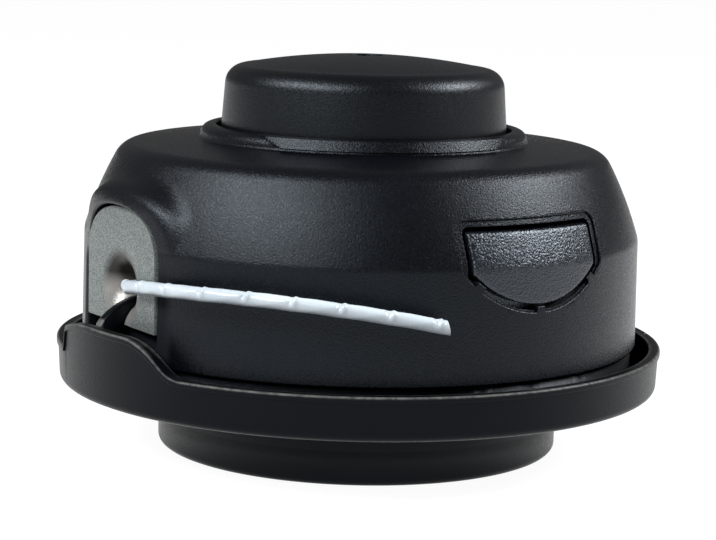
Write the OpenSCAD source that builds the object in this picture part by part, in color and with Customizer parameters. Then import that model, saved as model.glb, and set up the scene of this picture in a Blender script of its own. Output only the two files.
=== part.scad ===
// Bump feed line head for a grass trimmer, standing on its gearbox ring with the knob on top.
// Millimetres, Z up. The origin is on the spin axis in the plane that the ring stands on.
// The two line exits lie on the X axis, left at minus X and right at plus X.

/* [Base] */
// Outer radius of the ring that the head stands on
ring_r = 36.6; // [34:0.2:40]
// Wall of that ring
ring_t = 3; // [2:0.2:5]
// Height of the ring, up to the underside of the flange
ring_h = 11.8; // [10:0.2:18]
// Step that divides the ring into a lower and a slightly wider upper band
ring_step = 0.15; // [0.05:0.05:0.4]
// Height of the lower band of the ring
ring_band_h = 6; // [3:0.5:8]
// Radius of the lower outer edge of the ring
ring_fillet = 1.2; // [0.4:0.1:1.6]
// Thickness of the floor
floor_t = 3; // [2:0.2:4]
// Height of the rim above the underside of the flange
rim_h = 7.7; // [6.5:0.1:9]
// Width of the flat top of the rim
rim_t = 2.1; // [1.9:0.1:4]
// Width of the groove between the cover and the rim
rim_gap = 2.5; // [1.5:0.1:3]
// Overhang of the lip round the top of the rim
lip_out = 0.3; // [0.1:0.05:0.6]
// Height of that lip
lip_h = 1.1; // [0.6:0.1:2]
// Inward slope of the side of the rim, from lip to fillet
rim_draft = 0.25; // [0:0.05:0.5]
// Fillet under the flange
rim_fillet = 1.3; // [0.5:0.1:1.5]
// Height of the seat of the cover above the floor
cover_seat_h = 5.2; // [4.5:0.1:8]
// Height of the inner wall above that seat
upstand_h = 5; // [3:0.2:6]
// Thickness of the inner wall
upstand_t = 2; // [1.4:0.1:2.6]

/* [Line guards] */
// Height of the raised guard above the rim, below each line exit
guard_h = 5.6; // [5:0.1:7]
// Width of the flat top of the guard
guard_flat = 19.8; // [14:0.2:24]
// Radius where the flat top turns down
guard_crown_r = 12; // [6:0.5:14]
// Radius where the flank runs out into the rim
guard_foot_r = 6; // [3:0.5:8]
// Steepest slope of the flank in degrees
guard_slope = 38; // [30:1:42]
// Radius of the top of the guard on the side away from the line
guard_back_r = 42; // [34:1:60]
// Distance from the middle of the exit to the steep end on that side
guard_end = 12.2; // [10:0.2:14]
// Run of that steep end
guard_end_run = 0.8; // [0.4:0.1:2]
// Thickness of the small rib that keeps the line off the guard
nose_t = 2; // [1.4:0.1:2.2]
// Height of that rib above the flat top of the guard
nose_h = 4.8; // [3:0.1:5]
// How far the rib reaches out past the face of the eyelet
nose_out = 4.3; // [3:0.1:5]
// Exponent of its curved top, 1 is straight and 2 is an ellipse
nose_power = 1.45; // [1.2:0.05:2]

/* [Cover] */
// Outer radius of the cover at its lower edge
cover_r = 50.4; // [48:0.2:54]
// Wall thickness of the cover
cover_t = 2.2; // [1.8:0.1:2.8]
// Height of the straight wall
wall_h = 18.7; // [17:0.1:22]
// Draft of the straight wall in degrees
wall_draft = 0.75; // [0:0.05:1]
// Radius between the straight wall and the cone
knee_fillet = 4; // [3:0.5:6]
// Slope of the cone at its foot, in degrees from upright
cone_foot_a = 17; // [14:0.5:20]
// Slope of the cone at its top, in degrees from upright
cone_top_a = 28.5; // [26:0.5:32]
// Height of the cone
cone_h = 12.6; // [10:0.1:14]
// Radius of the shoulder
shoulder_fillet = 4.4; // [3.6:0.1:5.5]
// Slope of the top face in degrees
top_slope = 4.5; // [3:0.5:6]
// Gap between the knob and the collar round it
collar_gap = 0.9; // [0.5:0.05:1.1]
// Wall of the collar
collar_t = 2.85; // [2.4:0.05:3.4]
// Height of the collar above the top face
collar_h = 2.4; // [1.6:0.1:3.5]
// Radius that rounds the upper edge of the collar
collar_fillet = 1.8; // [1:0.1:2]
// Thickness of the wear pad on each side of the collar
pad_t = 0.3; // [0.2:0.05:0.5]
// Width of a wear pad in degrees
pad_a = 81; // [50:1:90]
// Angle from a line exit to the middle of the wear pad
pad_turn = 68.5; // [50:0.5:80]

/* [Eyelets] */
// Width of the eyelet plate
eyelet_w = 24.6; // [22:0.2:26]
// Height from the lower edge of the plate to where its arch begins
eyelet_side_h = 11.7; // [10:0.1:14]
// Rise of the arch
arch_h = 8.5; // [7:0.1:10]
// Exponent of the arch, 2 is an ellipse and more is squarer
arch_power = 2.25; // [2:0.05:3]
// Thickness of the hidden flange on the back of the plate
back_flange_t = 1.5; // [1:0.1:2]
// How far that flange reaches past the sides of the plate
back_flange_out = 1.4; // [1:0.1:1.8]
// Length of the tube behind the plate
tube_l = 2.2; // [1.9:0.1:2.6]
// Wall of the tube round the narrowest part of the hole
tube_t = 2.9; // [2:0.1:3.2]
// Radius of the narrowest part of the hole
throat_r = 2.6; // [2:0.1:3]
// Radius of the rounded mouth of the hole
mouth_fillet = 4.8; // [3:0.1:4.9]
// Radius of the rounded inner end of the hole
inner_fillet = 1.4; // [0.8:0.1:1.6]
// Height of the middle of the hole above the lower edge of the plate
hole_h = 6.2; // [5:0.1:8]
// Width of the raised hood of the cover around the arch
hood_w = 5; // [3.5:0.1:6]

/* [Latches] */
// Angle from the right line exit to the rear latch, the front one lies opposite
latch_angle = 94; // [85:0.5:100]
// Width of the latch button
tab_w = 26.2; // [22:0.2:28]
// Height of the latch button
tab_h = 12.3; // [11:0.1:13]
// Radius of its curved lower edge
tab_arc_r = 18; // [15:0.5:24]
// Height of its lower edge above the lower edge of the cover
tab_rise = 12.8; // [12:0.1:14]
// Thickness of the latch button
tab_t = 3.2; // [2.8:0.1:3.6]
// Gap all round the button
tab_gap = 0.8; // [0.5:0.05:1]
// Width of the shallow recess around the window
bezel_w = 1.05; // [0.8:0.05:1.6]
// Depth of that recess
bezel_d = 0.45; // [0.3:0.05:0.7]
// Width of each locating nub on the edge of the window
nub_w = 1.5; // [1:0.1:2]
// Angle of the two side nubs, from straight below the button
nub_angle = 39.5; // [30:0.5:42]
// Width of the tongue that carries the button
tongue_w = 20; // [16:0.5:22]
// Thickness of the tongue
tongue_t = 1.8; // [1.4:0.1:2]
// Radius of the bead that the tongue swings on
bead_r = 1.6; // [1.4:0.05:1.8]
// Length of that bead
bead_l = 14; // [10:0.5:16]

/* [Line tails] */
// Angle from a line exit to the cut end of its tail
tail_a = 72.3; // [40:0.1:80]
// Distance of the resting tail from the wall of the cover, to its middle
tail_out = 4.1; // [3:0.1:5]
// How far the tail rises above the exit
tail_rise = 2.95; // [0:0.05:4]
// Angle from the exit to its highest point
tail_peak_a = 34; // [30:1:60]

/* [Spool] */
// Diameter of the nylon line
line_d = 2.4; // [2:0.1:2.7]
// Turns of line side by side in a chamber
turns_wide = 3; // [2:1:3]
// Layers of line on the spool
layers = 6; // [4:1:7]
// Radius of the drum that the line is wound on
drum_r = 20; // [19.4:0.1:20.6]
// Wall of the drum
drum_t = 2.2; // [1.6:0.1:2.6]
// Thickness of the outer flanges
flange_t = 1.6; // [1.2:0.1:2]
// Thickness of the middle flange
mid_flange_t = 1.4; // [1:0.1:2]
// Free way for the line between the flanges and the eyelet tube
line_way = 3.2; // [2.8:0.1:4]
// Travel of the knob
bump_travel = 6; // [4:0.2:6.4]
// Height of the index teeth under the spool
low_tooth_h = 2.4; // [2:0.1:3]
// Height of the index teeth at the top of the spool
top_tooth_h = 4; // [3.6:0.1:4.4]
// Number of index teeth in a ring
teeth_n = 12; // [12:12:24]
// Width of an index tooth in degrees
tooth_a = 7; // [5:0.5:8]
// Number of fixed stops that the teeth meet
stops_n = 4; // [2:1:4]
// Radial length of the index teeth
tooth_l = 3.5; // [2.5:0.1:4]
// Wall of the neck that carries the knob
neck_t = 2.2; // [1.6:0.1:2.6]
// Height of the neck above the top flange
neck_h = 10.9; // [9:0.1:12]
// Thickness of the web between the drum and its bearing
web_t = 3; // [2:0.1:4]
// Height of the web above the lower flange
web_rise = 10.5; // [9:0.1:11]
// Wall of the bearing tube that turns on the post
bearing_t = 2.9; // [2:0.1:3.4]

/* [Knob] */
// Outer radius of the knob where it passes the collar
knob_r = 25.8; // [25.4:0.1:26]
// Wall of the knob where it slides over the neck
knob_t = 2.3; // [2:0.1:2.8]
// Height of the apex above the collar
knob_proud = 12.8; // [11:0.1:15]
// Draft of the side of the knob in degrees
knob_draft = 3; // [1:0.1:4]
// Radius of the upper edge of the knob
knob_fillet = 3.5; // [2.5:0.1:4.5]
// Rise of the dome from the edge to the apex
dome_rise = 2.05; // [1:0.05:3]
// Radius of the dimple at the apex
dimple_r = 3.2; // [2:0.1:5]
// Depth of the dimple
dimple_d = 0.9; // [0.5:0.1:1.4]

/* [Arbor and spring] */
// Radius of the post that the spool turns on
post_r = 8; // [7.5:0.1:8.5]
// Outer radius of the hub around the threaded insert
hub_r = 12.6; // [12.2:0.2:14]
// Height of the lower end of the hub above the standing plane
hub_lift = 2.6; // [1.5:0.1:4]
// Width across the flats of the threaded insert
nut_w = 17; // [15:0.5:18]
// Length of the threaded insert
nut_l = 8; // [6:0.5:9]
// Core radius of the thread of the insert
thread_r = 4.4; // [4:0.05:5]
// Radius of the clear bore above the insert
shaft_r = 5.3; // [5.2:0.05:5.8]
// Depth of the clear bore above the insert
shaft_l = 16; // [10:0.5:18]
// Number of ribs in the ring
ribs_n = 8; // [4:1:12]
// Thickness of a rib
rib_t = 1.8; // [1.2:0.1:3]
// Height of the ribs
rib_h = 3; // [2:0.2:4]
// Wire diameter of the spring
wire_d = 1.6; // [1.2:0.1:1.8]
// Mean radius of the spring
spring_r = 12; // [11.8:0.1:13]
// Turns of the spring
spring_turns = 5.5; // [4:0.5:5.5]
// Thickness of the spring seat
seat_t = 2; // [1.5:0.1:2.5]
// Wall of the collar of the spring seat, inside the spring
seat_collar_t = 2.5; // [1.5:0.1:2.7]
// Length of that collar
seat_collar_l = 3; // [2:0.1:4]

/* [Clearances] */
// Gap between parts that are fitted together
fit = 0.3; // [0.2:0.05:0.4]
// Radial clearance of a running bore
run = 0.06; // [0.03:0.01:0.09]
// Gap between flat faces that bear on each other
face_gap = 0.1; // [0.05:0.05:0.2]
// Room left at the end of a travel
end_gap = 0.3; // [0.2:0.05:0.5]
// Gap between the eyelet and the arched cut in the cover
eyelet_gap = 0.45; // [0.3:0.05:0.6]

/* [Hidden] */
$fn = 96;

// Colours as the photo shows them
black_plastic = [0.10, 0.105, 0.115];
gloss_black = [0.07, 0.07, 0.08];
sintered_grey = [0.60, 0.61, 0.60];
steel_grey = [0.70, 0.70, 0.72];
nylon_white = [0.80, 0.85, 0.90];

// Angle at which the outline of a wear pad runs into the rounded edge of the collar
pad_edge_a = 62;
// Overshoot that lets a cut pass cleanly through a face
over = 1;
// Depth to which joined parts of one solid run into each other
sink = 0.5;
// Steps of a round stretch in an outline
steps = 8;
// Reach of prisms that only bound a shape
reach = 70;

// Heights of the base
flange_z = ring_h;
floor_z = flange_z + floor_t;
rim_z = flange_z + rim_h;
guard_z = rim_z + guard_h;
cover_z = floor_z + cover_seat_h;
upstand_z = cover_z + upstand_h;

// Radii of the base
rim_in_r = cover_r + rim_gap;
rim_r = rim_in_r + rim_t;
side_r = rim_r - lip_out;
foot_r = side_r - rim_draft;
knee_r = cover_r - wall_h * tan(wall_draft);
upstand_r = knee_r - cover_t - fit;
seat_r = cover_r - 0.8;
ring_in_r = ring_r - ring_t;

// Flank of the guard, from the flat top to the rim, seen along X
flank_drop = (guard_crown_r + guard_foot_r) * (1 - cos(guard_slope));
flank_run = max(guard_h - flank_drop, 0) / tan(guard_slope);
crown_y = guard_flat / 2;
flank_y = crown_y + guard_crown_r * sin(guard_slope);
foot_y = flank_y + flank_run + guard_foot_r * sin(guard_slope);

// Outline of the cover, as three arcs between the wall and the top face
top_a = 90 - top_slope;
knee_z = cover_z + wall_h;
cone_r = cone_h / (sin(cone_top_a) - sin(cone_foot_a));
knee_c = [knee_r, knee_z] - knee_fillet * toward(wall_draft);
cone_c = knee_c + (knee_fillet - cone_r) * toward(cone_foot_a);
shoulder_c = cone_c + (cone_r - shoulder_fillet) * toward(cone_top_a);
collar_in_r = knob_r + collar_gap;
collar_r = collar_in_r + collar_t;
collar_foot_z = top_face_z(collar_r, 0);
collar_z = collar_foot_z + collar_h;
// The underside of the top face is level, at the height of its lowest place
under_top_z = top_face_z(shoulder_c[0], cover_t);

// Eyelet, measured along X from the spin axis
eyelet_z = upstand_z + fit;
arch_z = eyelet_z + eyelet_side_h;
hole_z = eyelet_z + hole_h;
cheek_y = eyelet_w / 2 + back_flange_out;
face_x = sqrt(pow(cover_r, 2) - pow(eyelet_w / 2, 2));
plate_x = sqrt(pow(upstand_r, 2) - pow(cheek_y, 2));
back_x = plate_x - back_flange_t;
tube_x = plate_x - tube_l;
tube_r = throat_r + tube_t;
cheek_x = back_x - fit;
cheek_t = 1.7;
cheek_z = arch_z - 1.5;

// Latch, in its own frame with X pointing outward
tab_z = cover_z + tab_rise;
tab_top_z = tab_z + tab_h;
tab_sink = 0.1;
tongue_r = upstand_r;
bead_x = tongue_r - tongue_t / 2;
bead_z = floor_z + bead_r + 0.6;
socket_t = 1;
socket_z = bead_z + 0.9;
tongue_z = socket_z + 0.8;

// Spool, from the lower flange up, with the knob released
chamber_w = turns_wide * line_d + 2 * fit / 2;
low_flange_z = floor_z + bump_travel + low_tooth_h + end_gap;
chamber_z = low_flange_z + flange_t;
mid_z = chamber_z + chamber_w;
chamber_2_z = mid_z + mid_flange_t;
top_flange_z = chamber_2_z + chamber_w;
spool_top_z = top_flange_z + flange_t;
spool_r = tube_x - line_way;
drum_in_r = drum_r - drum_t;
web_z = low_flange_z + web_rise;
bearing_r = post_r + run + bearing_t;
neck_z = spool_top_z + neck_h;
index_in_r = knob_r + 1.7;
index_ring_t = 2;
index_r = index_in_r + index_ring_t;
index_z = under_top_z - end_gap;
winding_r = drum_r + fit / 2 + layers * line_d * 0.93;
tooth_pitch = 360 / teeth_n;
stop_extra_a = 5;
stop_a = tooth_a + stop_extra_a;
// The upper teeth rest against their stops, the lower ones pass midway between theirs
stop_turn = 180 / stops_n;
tooth_turn = stop_turn + (stop_a + tooth_a) / 2 + atan(fit / index_r);
low_stop_turn = tooth_turn + tooth_pitch / 2;
stop_z = index_z - top_tooth_h;
stop_ring_t = 2;
line_notch_r = 1.4;

// Knob
neck_r = knob_r - knob_t - fit;
knob_top_z = collar_z + knob_proud;
edge_z = knob_top_z - dome_rise;
snap_z = spool_top_z + 3;
snap_h = 1.2;
snap_d = 0.8;

// Arbor and spring
post_z = under_top_z - 1.8;
nut_top_z = hub_lift + nut_l;
shaft_end_z = nut_top_z + shaft_l;
seat_z = web_z - face_gap - seat_t;
seat_r_out = spring_r + wire_d + 1;
spring_low_z = floor_z + face_gap;
spring_top_z = seat_z - face_gap;

// Tail of line: from inside the right exit it bends round the mouth and follows the cover
tail_sides = 8;
tail_bend_r = mouth_fillet + line_d / 2 + fit;
tail_bend_c = [face_x - mouth_fillet, throat_r + mouth_fillet];
tail_start = [spool_r + line_d, tail_bend_c[1] - tail_bend_r];
// Angle from the exit and distance from the cover, where the tail leaves the exit
tail_lift = [[12, 1.2], [16, 2.05], [20, 2.9], [24, 3.55], [28, 3.95], [32, 4.1]];
tail_arc_from = 36;
tail_plan = concat(
    [tail_start], arc(tail_bend_c, tail_bend_r, -90, 0, 6),
    [for (p = tail_lift) (cover_r + p[1] * tail_out / 4.1) * toward(p[0])],
    arc([0, 0], cover_r + tail_out, tail_arc_from, tail_a));
tail_route = [for (p = tail_plan) [p[0], p[1], tail_z(atan2(p[1], p[0]))]];

// Unit vector in the R and Z plane, raised by an angle
function toward(a) = [cos(a), sin(a)];
// Points of an arc about c, from angle a to angle b
function arc(c, r, a, b, n = steps) = [for (i = [0 : n]) c + r * toward(a + (b - a) * i / n)];
// Height of a tail at an angle from its exit: it rises to its highest point and sags from there
function tail_z(a) = hole_z + tail_rise * (1 - pow(a / tail_peak_a - 1, 2));
// Height of the top face at a radius, for a skin that lies g inside the outer one
function top_face_z(r, g) =
    let (edge = shoulder_c + (shoulder_fillet - g) * toward(top_a))
    edge[1] + (edge[0] - r) * tan(top_slope);
// Outline of the cover from its lower edge to the collar, for a skin that lies g inside
function cover_line(g, z) = concat(
    [[knee_r + (knee_z - z) * tan(wall_draft) - g, z]],
    arc(knee_c, knee_fillet - g, wall_draft, cone_foot_a, 4),
    arc(cone_c, cone_r - g, cone_foot_a, cone_top_a),
    arc(shoulder_c, shoulder_fillet - g, cone_top_a, top_a),
    [[collar_r - 1, top_face_z(collar_r - 1, g)]]);

// Ring between two radii and two heights
module ring(r_in, r_out, z_low, z_high) {
    translate([0, 0, z_low]) difference() {
        cylinder(r = r_out, h = z_high - z_low);
        translate([0, 0, -over]) cylinder(r = r_in, h = z_high - z_low + 2 * over);
    }
}

// Solid bounded by the outline of the cover, for a skin that lies g inside
module cover_form(g, z) {
    line = cover_line(g, z);
    top = line[len(line) - 1];
    rotate_extrude() polygon(concat([[0, z]], line, [[0, top[1]]]));
}

// Ring sector about the spin axis, a degrees wide and centred on angle mid
module sector(r_in, r_out, z_low, z_high, a, mid) {
    rotate([0, 0, mid - a / 2]) translate([0, 0, z_low])
        rotate_extrude(angle = a) translate([r_in, 0]) square([r_out - r_in, z_high - z_low]);
}

// Arch with straight sides, drawn in Y and Z, grown by g, from height z up
module arch_2d(g, z) {
    half = eyelet_w / 2 + g;
    rise = arch_h + g;
    n = 3 * steps;
    crown = [for (i = [0 : n]) let (a = 180 * i / n, c = cos(a), s = sin(a))
        [half * sign(c) * pow(abs(c), 2 / arch_power), arch_z + rise * pow(s, 2 / arch_power)]];
    polygon(concat([[half, z]], crown, [[-half, z]]));
}

// Prism along X of a shape drawn in Y and Z, from x to x + l
module along_x(x, l) {
    translate([x, 0, 0]) rotate([90, 0, 90]) linear_extrude(l) children();
}

// Outline of the latch button in Y and Z, grown by g
module tab_2d(g) {
    low = tab_z - g;
    intersection() {
        translate([-tab_w / 2 - g, low]) square([tab_w + 2 * g, tab_h + 2 * g]);
        translate([0, tab_z + tab_arc_r]) circle(r = tab_arc_r + g);
    }
}

// Height line of the rim at the right exit, seen along X and lowered by drop. The guard
// runs out gently on the side where the line lies, and ends steeply on the other.
module rim_line_2d(drop) {
    top = guard_z - drop;
    base = rim_z - drop;
    turn = [flank_y, top - guard_crown_r * (1 - cos(guard_slope))];
    low = [flank_y + flank_run, base + guard_foot_r * (1 - cos(guard_slope))];
    end = -guard_end - guard_end_run;
    translate([-reach, 0]) square([2 * reach, base]);
    square([crown_y, top]);
    intersection() {
        translate([crown_y, top - guard_crown_r]) circle(r = guard_crown_r);
        translate([crown_y, 0]) square([reach, top]);
    }
    difference() {
        polygon([[crown_y, 0], [crown_y, turn[1]], turn, low, [foot_y, base], [foot_y, 0]]);
        translate([foot_y, base + guard_foot_r]) circle(r = guard_foot_r);
    }
    intersection() {
        translate([0, top - guard_back_r]) circle(r = guard_back_r);
        polygon([[sink, 0], [sink, top], [-guard_end, top], [end, base], [end, 0]]);
    }
}

module under_rim_line(drop) {
    for (turn = [0, 180]) rotate([0, 0, turn])
        along_x(-sink, reach + sink) rim_line_2d(drop);
}

// Rim with its guards and lip
module rim() {
    fillet_c = [foot_r - rim_fillet, flange_z + rim_fillet];
    intersection() {
        rotate_extrude() polygon(concat(
            [[rim_in_r, flange_z]], arc(fillet_c, rim_fillet, -90, 0),
            [[side_r, rim_z - lip_h], [side_r, guard_z], [rim_in_r, guard_z]]));
        under_rim_line(0);
    }
    intersection() {
        ring(side_r - sink, rim_r, flange_z, guard_z);
        difference() {
            under_rim_line(0);
            under_rim_line(lip_h);
        }
    }
}

// Rib below a line exit, that fills the slot of the eyelet and runs out on the guard
module nose() {
    end_x = face_x + nose_out;
    start_x = back_x;
    rib_top_x = plate_x + fit / 2;
    bend = 2 / nose_power;
    bow = [for (i = [0 : steps]) let (a = 90 * (1 - i / steps))
        [rib_top_x + (end_x - rib_top_x) * pow(cos(a), bend), guard_z + nose_h * pow(sin(a), bend)]];
    translate([0, nose_t / 2, 0]) rotate([90, 0, 0]) linear_extrude(nose_t)
        polygon(concat([[start_x, floor_z - sink], [start_x, guard_z + nose_h]], bow,
                       [[end_x, floor_z - sink]]));
}

// Two upright cheeks that back the eyelet, with the tube of the eyelet between them
module cheeks() {
    inner_y = tube_r + fit;
    for (m = [0, 1]) mirror([0, m, 0])
        translate([cheek_x - cheek_t, inner_y, floor_z - sink])
            cube([cheek_t, cheek_y - inner_y, cheek_z - floor_z + sink]);
}

// Open socket on the floor that a latch bead snaps into
module latch_socket() {
    half = bead_r + run + socket_t;
    difference() {
        intersection() {
            translate([bead_x - half, -bead_l / 2, floor_z - sink])
                cube([2 * half, bead_l, socket_z - floor_z + sink]);
            cylinder_from(floor_z - sink, seat_r, socket_z);
        }
        bead_bore();
    }
}

// Bore that the bead of a latch turns in
module bead_bore() {
    translate([bead_x, 0, bead_z]) rotate([90, 0, 0])
        cylinder(r = bead_r + run, h = bead_l + 2 * over, center = true);
}

// Room for a latch tongue, cut into the inner wall of the base and its seat
module latch_notch() {
    notch_w = tongue_w + 4 * fit;
    notch_in_r = upstand_r - upstand_t - over;
    intersection() {
        union() {
            ring(notch_in_r, tongue_r + fit, floor_z, upstand_z + over);
            ring(notch_in_r, seat_r + over, cover_z, upstand_z + over);
        }
        translate([0, -notch_w / 2, floor_z]) cube([reach, notch_w, upstand_z]);
    }
}

module at_latches() {
    for (a = [latch_angle, latch_angle + 180]) rotate([0, 0, a]) children();
}

module at_exits() {
    for (a = [0, 180]) rotate([0, 0, a]) children();
}

// Ring that the head stands on
module foot_ring() {
    band_r = ring_r - ring_step;
    fillet_c = [band_r - ring_fillet, ring_fillet];
    rotate_extrude() polygon(concat(
        [[ring_in_r, 0]], arc(fillet_c, ring_fillet, -90, 0),
        [[band_r, ring_band_h], [ring_r, ring_band_h], [ring_r, flange_z + sink],
         [ring_in_r, flange_z + sink]]));
}

// Base: ring, floor, rim, inner wall, post, hub, ribs and stops in one moulding
module housing() color(black_plastic) difference() {
    union() {
        foot_ring();
        cylinder_from(flange_z, rim_in_r + sink, floor_t);
        rim();
        difference() {
            union() {
                ring(upstand_r - upstand_t, upstand_r, floor_z - sink, upstand_z);
                ring(upstand_r - sink, seat_r, floor_z - sink, cover_z);
            }
            at_latches() {
                latch_notch();
                bead_bore();
            }
        }
        cylinder_from(hub_lift, hub_r, flange_z + sink - hub_lift);
        cylinder_from(floor_z - sink, post_r, post_z - floor_z + sink);
        for (i = [0 : ribs_n - 1]) rotate([0, 0, (i + 0.5) * 360 / ribs_n])
            translate([hub_r - sink, -rib_t / 2, flange_z - rib_h])
                cube([ring_in_r - hub_r + 2 * sink, rib_t, rib_h + sink]);
        for (i = [0 : stops_n - 1])
            sector(index_r, index_r + tooth_l, floor_z - sink, floor_z + low_tooth_h, stop_a,
                   i * 360 / stops_n + low_stop_turn);
        at_exits() {
            nose();
            cheeks();
        }
        at_latches() latch_socket();
    }
    translate([0, 0, hub_lift - over]) rotate([0, 0, 30])
        cylinder(d = (nut_w + fit) / cos(30), h = nut_l + over, $fn = 6);
    cylinder_from(nut_top_z - over, shaft_r, shaft_l + over);
    translate([0, 0, shaft_end_z + drum_t]) cylinder(r = shaft_r, h = post_z);
}

module cylinder_from(z, r, h) {
    translate([0, 0, z]) cylinder(r = r, h = h);
}

// Raised hood of the cover around an arched cut, rounded over at its crown
module hood() {
    crown_z = arch_z + arch_h;
    root_z = knee_z - 2 * over;
    intersection() {
        along_x(tube_x, reach - tube_x) arch_2d(hood_w, root_z);
        rotate_extrude() polygon(concat(
            [[0, root_z], [knee_r - over, root_z], [knee_r, knee_z + over]],
            arc([knee_r - hood_w, crown_z], hood_w, 0, 90), [[0, crown_z + hood_w]]));
    }
}

// Collar round the knob, with its two wear pads
module collar() {
    // The edge of the collar is rounded up to this angle, in r and z, for a section g outside it
    module section(g, in_r, end_a) {
        c = [collar_r + g - collar_fillet, collar_z - collar_fillet];
        edge = arc(c, collar_fillet, 0, end_a);
        top = edge[len(edge) - 1];
        polygon(concat([[in_r, under_top_z], [collar_r + g, under_top_z]], edge, [[in_r, top[1]]]));
    }
    rotate_extrude() section(0, collar_in_r, 90);
    for (a = [0, 180]) rotate([0, 0, a + pad_turn - pad_a / 2])
        rotate_extrude(angle = pad_a) section(pad_t, collar_r - collar_fillet, pad_edge_a);
}

// Fixed stops under the top face of the cover, that the upper index teeth meet
module cover_stops() {
    outer_r = index_r + tooth_l + end_gap;
    ring(outer_r, outer_r + stop_ring_t, stop_z, under_top_z + sink);
    for (i = [0 : stops_n - 1])
        sector(index_r + fit, outer_r + sink, stop_z, under_top_z + sink, stop_a,
               i * 360 / stops_n + stop_turn);
}

// Outline of a latch window, with small nubs on its lower edge
module window_2d() {
    difference() {
        tab_2d(tab_gap);
        for (a = [-nub_angle, 0, nub_angle]) translate([0, tab_z + tab_arc_r]) rotate(a)
            translate([-nub_w / 2, -tab_arc_r - tab_gap - sink])
                square([nub_w, tab_gap + sink - fit]);
    }
}

module cover() color(black_plastic) {
    difference() {
        union() {
            cover_form(0, cover_z);
            at_exits() hood();
            collar();
        }
        difference() {
            cover_form(cover_t, cover_z - over);
            cylinder_from(under_top_z, reach, cover_t + shoulder_fillet);
        }
        cylinder_from(under_top_z - over, collar_in_r, collar_z - under_top_z + 2 * over);
        at_exits() along_x(tube_x - over, reach - tube_x) arch_2d(eyelet_gap, cover_z - over);
        at_latches() {
            along_x(tongue_r - tab_t - over, reach - tongue_r) window_2d();
            difference() {
                along_x(tongue_r - tab_t, reach - tongue_r) tab_2d(tab_gap + bezel_w);
                cover_form(bezel_d, cover_z - over);
            }
        }
    }
    cover_stops();
}

// Sintered line guide: plate, hidden back flange and tube, with a flared hole and a slot
module eyelet() color(sintered_grey) difference() {
    union() {
        along_x(plate_x - sink, face_x - plate_x + sink) arch_2d(0, eyelet_z);
        translate([back_x, -cheek_y, eyelet_z])
            cube([back_flange_t, 2 * cheek_y, cheek_z - eyelet_z]);
        translate([tube_x, 0, hole_z]) rotate([0, 90, 0]) cylinder(r = tube_r, h = tube_l + sink);
    }
    translate([tube_x - over, 0, hole_z]) rotate([0, 90, 0])
        cylinder(r = throat_r, h = face_x - tube_x + 2 * over);
    translate([face_x, 0, hole_z]) rotate([0, 90, 0]) mouth(mouth_fillet);
    translate([tube_x, 0, hole_z]) rotate([0, -90, 0]) mouth(inner_fillet);
    slot_w = nose_t + 2 * fit;
    translate([tube_x - over, -slot_w / 2, eyelet_z - over])
        cube([face_x - tube_x + 2 * over, slot_w, hole_h + over]);
}

// Rounded mouth of a hole, cut below the plane z = 0 of its own frame
module mouth(r) {
    rotate_extrude() difference() {
        translate([0, -r]) square([throat_r + r, r + over]);
        translate([throat_r + r, -r]) circle(r = r);
    }
}

module eyelet_left() rotate([0, 0, 180]) eyelet();
module eyelet_right() eyelet();

// Latch: button in the window, tongue inside the wall, and the bead that it swings on
module latch() color(black_plastic) {
    intersection() {
        along_x(tongue_r - tab_t - over, reach - tongue_r) tab_2d(0);
        difference() {
            cover_form(tab_sink, cover_z);
            cover_form(tab_t, cover_z - over);
        }
    }
    intersection() {
        ring(tongue_r - tongue_t, tongue_r, tongue_z, tab_z + tab_h / 3);
        translate([0, -tongue_w / 2, floor_z]) cube([reach, tongue_w, reach]);
    }
    intersection() {
        translate([tongue_r - tongue_t, -bead_l / 2, bead_z])
            cube([tongue_t, bead_l, tongue_z + over - bead_z]);
        cylinder_from(floor_z, tongue_r, tab_z);
    }
    translate([bead_x, 0, bead_z]) rotate([90, 0, 0]) cylinder(r = bead_r, h = bead_l, center = true);
}

module latch_front() rotate([0, 0, latch_angle + 180]) latch();
module latch_rear() rotate([0, 0, latch_angle]) latch();

module arbor_nut() color(steel_grey) difference() {
    translate([0, 0, hub_lift]) rotate([0, 0, 30]) cylinder(d = nut_w / cos(30), h = nut_l, $fn = 6);
    cylinder_from(hub_lift - over, thread_r, nut_l + 2 * over);
}

// Index teeth in a full ring
module teeth(z, h, turn) {
    for (i = [0 : teeth_n - 1])
        sector(index_r - sink, index_r + tooth_l, z, z + h, tooth_a, i * tooth_pitch + turn);
}

module spool() color(gloss_black) difference() {
    union() {
        ring(drum_in_r, drum_r, low_flange_z, spool_top_z);
        ring(drum_r - sink, spool_r, low_flange_z, chamber_z);
        ring(drum_r - sink, spool_r, mid_z, chamber_2_z);
        ring(drum_r - sink, spool_r, top_flange_z, spool_top_z);
        ring(post_r + run, drum_in_r + sink, web_z, web_z + web_t);
        ring(post_r + run, bearing_r, web_z, post_z - end_gap);
        ring(neck_r - neck_t, neck_r, top_flange_z, neck_z);
        ring(index_in_r, index_r, top_flange_z, index_z);
        teeth(index_z - top_tooth_h, top_tooth_h, tooth_turn);
        teeth(low_flange_z - low_tooth_h, low_tooth_h + sink, tooth_turn);
    }
    ring(neck_r - snap_d, neck_r + over, snap_z - fit, snap_z + snap_h + fit);
    for (a = [0, 180]) rotate([0, 0, a]) translate([spool_r, 0, low_flange_z - over])
        cylinder(r = line_notch_r, h = spool_top_z - low_flange_z + 2 * over);
}

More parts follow.
